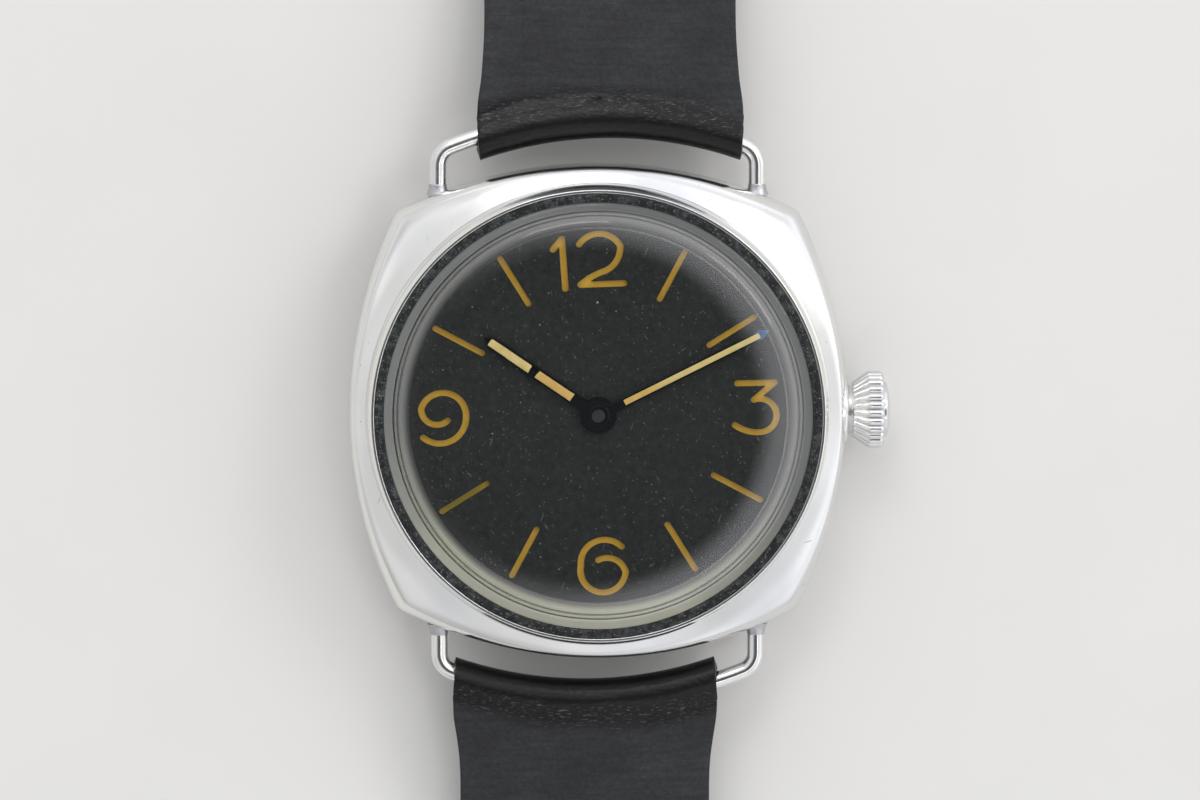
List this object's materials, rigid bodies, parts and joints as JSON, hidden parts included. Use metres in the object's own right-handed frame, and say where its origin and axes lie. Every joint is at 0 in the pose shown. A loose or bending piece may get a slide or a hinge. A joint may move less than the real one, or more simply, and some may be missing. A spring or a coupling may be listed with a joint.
{
  "type": "wristwatch",
  "caption": "Hand-wound wristwatch with a cushion case, wire lugs, a domed crystal over a cut-out black dial, a fluted crown and an open two-piece leather strap with a pin buckle.",
  "frame": {"origin": "centre of the flat that the case back rests on", "axes": "+Z out of the dial, +Y to twelve o'clock, +X to the crown"},
  "size_m": [0.0513, 0.2579, 0.0137],
  "materials": {
    "polished_steel": "polished steel with fine scratches",
    "crystal": "clear, domed",
    "packing": "dusty dark grey",
    "pale_ring": "pale warm grey",
    "rubber": "black",
    "dial_black": "matte charcoal black",
    "lume": "aged ochre lume",
    "movement_plate": "nickel-plated, satin",
    "blued_screws": "blued steel",
    "ruby": "synthetic ruby",
    "movement_steel": "fine-brushed steel",
    "train_brass": "gilt brass",
    "hand_steel": "black with a bluish glint",
    "hand_lume": "aged tan lume",
    "strap_leather": "smooth black",
    "buckle_steel": "polished steel"
  },
  "bodies": {
    "case": {"case_middle": "polished_steel", "bezel": "polished_steel", "crystal": "crystal", "crystal_gasket": "packing", "dial_flange": "pale_ring", "case_back": "polished_steel", "back_gasket": "rubber", "crown_tube": "polished_steel", "wire_lug_12": "polished_steel", "wire_lug_6": "polished_steel", "dial_plate": "dial_black", "lume_plate": "lume", "main_plate": "movement_plate", "barrel_bridge": "movement_plate", "train_bridge": "movement_plate", "balance_cock": "movement_plate", "pallet_cock": "movement_plate", "bridge_screws": "blued_screws", "jewels": "ruby", "click_spring": "movement_steel", "crown_wheel_core": "movement_steel", "hairspring": "movement_steel"},
    "stem": {"winding_stem": "movement_steel"},
    "crown": {"crown": "polished_steel", "crown_gasket": "rubber"},
    "winding_pinion": {"winding_pinion": "movement_steel"},
    "sliding_pinion": {"sliding_pinion": "movement_steel"},
    "setting_lever": {"setting_lever": "movement_steel"},
    "crown_wheel": {"crown_wheel": "movement_steel"},
    "ratchet": {"ratchet_wheel": "movement_steel", "ratchet_screw": "blued_screws", "barrel_arbor": "movement_steel"},
    "click": {"click": "movement_steel"},
    "barrel": {"barrel_drum": "train_brass", "barrel_cover": "train_brass", "mainspring": "movement_steel"},
    "centre_wheel": {"centre_wheel": "train_brass"},
    "third_wheel": {"third_wheel": "train_brass"},
    "fourth_wheel": {"fourth_wheel": "train_brass"},
    "escape_wheel": {"escape_wheel": "movement_steel"},
    "pallet_fork": {"pallet_fork": "movement_steel"},
    "balance": {"balance_wheel": "train_brass"},
    "regulator": {"regulator": "movement_steel"},
    "minute_hand": {"cannon_pinion": "movement_steel", "minute_hand": "hand_steel", "minute_hand_lume": "hand_lume"},
    "minute_wheel": {"minute_wheel": "train_brass"},
    "hour_hand": {"hour_wheel": "train_brass", "hour_hand": "hand_steel", "hour_hand_lume": "hand_lume"},
    "setting_wheel": {"setting_wheel": "movement_steel"},
    "strap_12": {"strap_12_leather": "strap_leather", "strap_12_bar_fold": "strap_leather", "buckle_pin": "buckle_steel", "fixed_keeper": "strap_leather"},
    "strap_6": {"strap_6_leather": "strap_leather", "strap_6_bar_fold": "strap_leather"},
    "buckle": {"buckle_frame": "buckle_steel"},
    "tongue": {"buckle_tongue": "buckle_steel"},
    "free_keeper": {"free_keeper": "strap_leather"}
  },
  "joints": [
    {"name": "crown_pull", "type": "slide", "parent": "case", "child": "stem", "axis": [1, 0, 0], "range_m": [0, 0.0009]},
    {"name": "crown_turn", "type": "hinge", "parent": "stem", "child": "crown", "pos_m": [0, 0, 0.0056], "axis": [1, 0, 0], "continuous": true},
    {"name": "winding_pinion_turn", "type": "hinge", "parent": "case", "child": "winding_pinion", "pos_m": [0, 0, 0.0056], "axis": [1, 0, 0], "continuous": true},
    {"name": "sliding_pinion_slide", "type": "slide", "parent": "case", "child": "sliding_pinion", "axis": [1, 0, 0], "range_m": [-0.0009, 0]},
    {"name": "setting_lever_swing", "type": "hinge", "parent": "case", "child": "setting_lever", "pos_m": [0.015, -0.0042, 0.0067], "axis": [0, 0, 1], "range_deg": [-12.4, 0]},
    {"name": "crown_wheel_turn", "type": "hinge", "parent": "case", "child": "crown_wheel", "pos_m": [0.00987, 0, 0.0056], "axis": [0, 0, 1], "continuous": true},
    {"name": "ratchet_turn", "type": "hinge", "parent": "case", "child": "ratchet", "pos_m": [0.00423, 0.00795, 0.0056], "axis": [0, 0, 1], "continuous": true},
    {"name": "click_swing", "type": "hinge", "parent": "case", "child": "click", "pos_m": [-0.00037, 0.01342, 0.0032], "axis": [0, 0, 1], "range_deg": [0, 14]},
    {"name": "barrel_turn", "type": "hinge", "parent": "case", "child": "barrel", "pos_m": [0.00423, 0.00795, 0.0056], "axis": [0, 0, 1], "continuous": true},
    {"name": "centre_wheel_turn", "type": "hinge", "parent": "case", "child": "centre_wheel", "pos_m": [0, 0, 0.0056], "axis": [0, 0, 1], "continuous": true},
    {"name": "third_wheel_turn", "type": "hinge", "parent": "case", "child": "third_wheel", "pos_m": [-0.00665, -0.00117, 0.0056], "axis": [0, 0, 1], "continuous": true},
    {"name": "fourth_wheel_turn", "type": "hinge", "parent": "case", "child": "fourth_wheel", "pos_m": [-0.00511, -0.00692, 0.0056], "axis": [0, 0, 1], "continuous": true},
    {"name": "escape_wheel_turn", "type": "hinge", "parent": "case", "child": "escape_wheel", "pos_m": [0.00009, -0.00784, 0.0056], "axis": [0, 0, 1], "continuous": true},
    {"name": "pallet_fork_rock", "type": "hinge", "parent": "case", "child": "pallet_fork", "pos_m": [0.00303, -0.00846, 0.0056], "axis": [0, 0, 1], "range_deg": [-5, 5]},
    {"name": "balance_swing", "type": "hinge", "parent": "case", "child": "balance", "pos_m": [0.00831, -0.00958, 0.0056], "axis": [0, 0, 1], "range_deg": [-270, 270]},
    {"name": "regulator_swing", "type": "hinge", "parent": "case", "child": "regulator", "pos_m": [0.00831, -0.00958, 0.0024], "axis": [0, 0, 1], "range_deg": [-15, 15]},
    {"name": "minute_hand_turn", "type": "hinge", "parent": "case", "child": "minute_hand", "pos_m": [0, 0, 0.0095], "axis": [0, 0, 1], "continuous": true},
    {"name": "minute_wheel_turn", "type": "hinge", "parent": "case", "child": "minute_wheel", "pos_m": [0.00451, -0.00164, 0.0076], "axis": [0, 0, 1], "continuous": true},
    {"name": "hour_hand_turn", "type": "hinge", "parent": "case", "child": "hour_hand", "pos_m": [0, 0, 0.009], "axis": [0, 0, 1], "continuous": true},
    {"name": "setting_wheel_turn", "type": "hinge", "parent": "case", "child": "setting_wheel", "pos_m": [0.00983, -0.0007, 0.0076], "axis": [0, 0, 1], "continuous": true},
    {"name": "strap_12_swing", "type": "hinge", "parent": "case", "child": "strap_12", "pos_m": [0, 0.02777, 0.0056], "axis": [1, 0, 0], "range_deg": [-55, 60], "deforming": ["strap_12_bar_fold"]},
    {"name": "strap_6_swing", "type": "hinge", "parent": "case", "child": "strap_6", "pos_m": [0, -0.02777, 0.0056], "axis": [1, 0, 0], "range_deg": [-60, 55], "deforming": ["strap_6_bar_fold"]},
    {"name": "buckle_swing", "type": "hinge", "parent": "strap_12", "child": "buckle", "pos_m": [0, 0.10277, 0.0021], "axis": [1, 0, 0], "range_deg": [-60, 45]},
    {"name": "tongue_swing", "type": "hinge", "parent": "buckle", "child": "tongue", "pos_m": [0, 0.10277, 0.0021], "axis": [1, 0, 0], "range_deg": [0, 85]},
    {"name": "free_keeper_slide", "type": "slide", "parent": "strap_12", "child": "free_keeper", "axis": [0, 1, 0], "range_m": [-0.012, 0.005]}
  ],
  "couplings": [
    {"joint": "sliding_pinion_slide", "follows": "crown_pull", "ratio": -1},
    {"joint": "setting_lever_swing", "follows": "crown_pull", "rad_per_m": -238.7},
    {"joint": "winding_pinion_turn", "follows": "crown_turn", "ratio": 1},
    {"joint": "crown_wheel_turn", "follows": "crown_turn", "ratio": 0.41379},
    {"joint": "ratchet_turn", "follows": "crown_turn", "ratio": -0.33333},
    {"joint": "minute_wheel_turn", "follows": "minute_hand_turn", "ratio": -0.33333},
    {"joint": "hour_hand_turn", "follows": "minute_hand_turn", "ratio": 0.083333},
    {"joint": "setting_wheel_turn", "follows": "minute_hand_turn", "ratio": 0.66667},
    {"joint": "third_wheel_turn", "follows": "fourth_wheel_turn", "ratio": -0.13333},
    {"joint": "centre_wheel_turn", "follows": "fourth_wheel_turn", "ratio": 0.016667},
    {"joint": "barrel_turn", "follows": "fourth_wheel_turn", "ratio": -0.0023207},
    {"joint": "escape_wheel_turn", "follows": "fourth_wheel_turn", "ratio": -10}
  ]
}
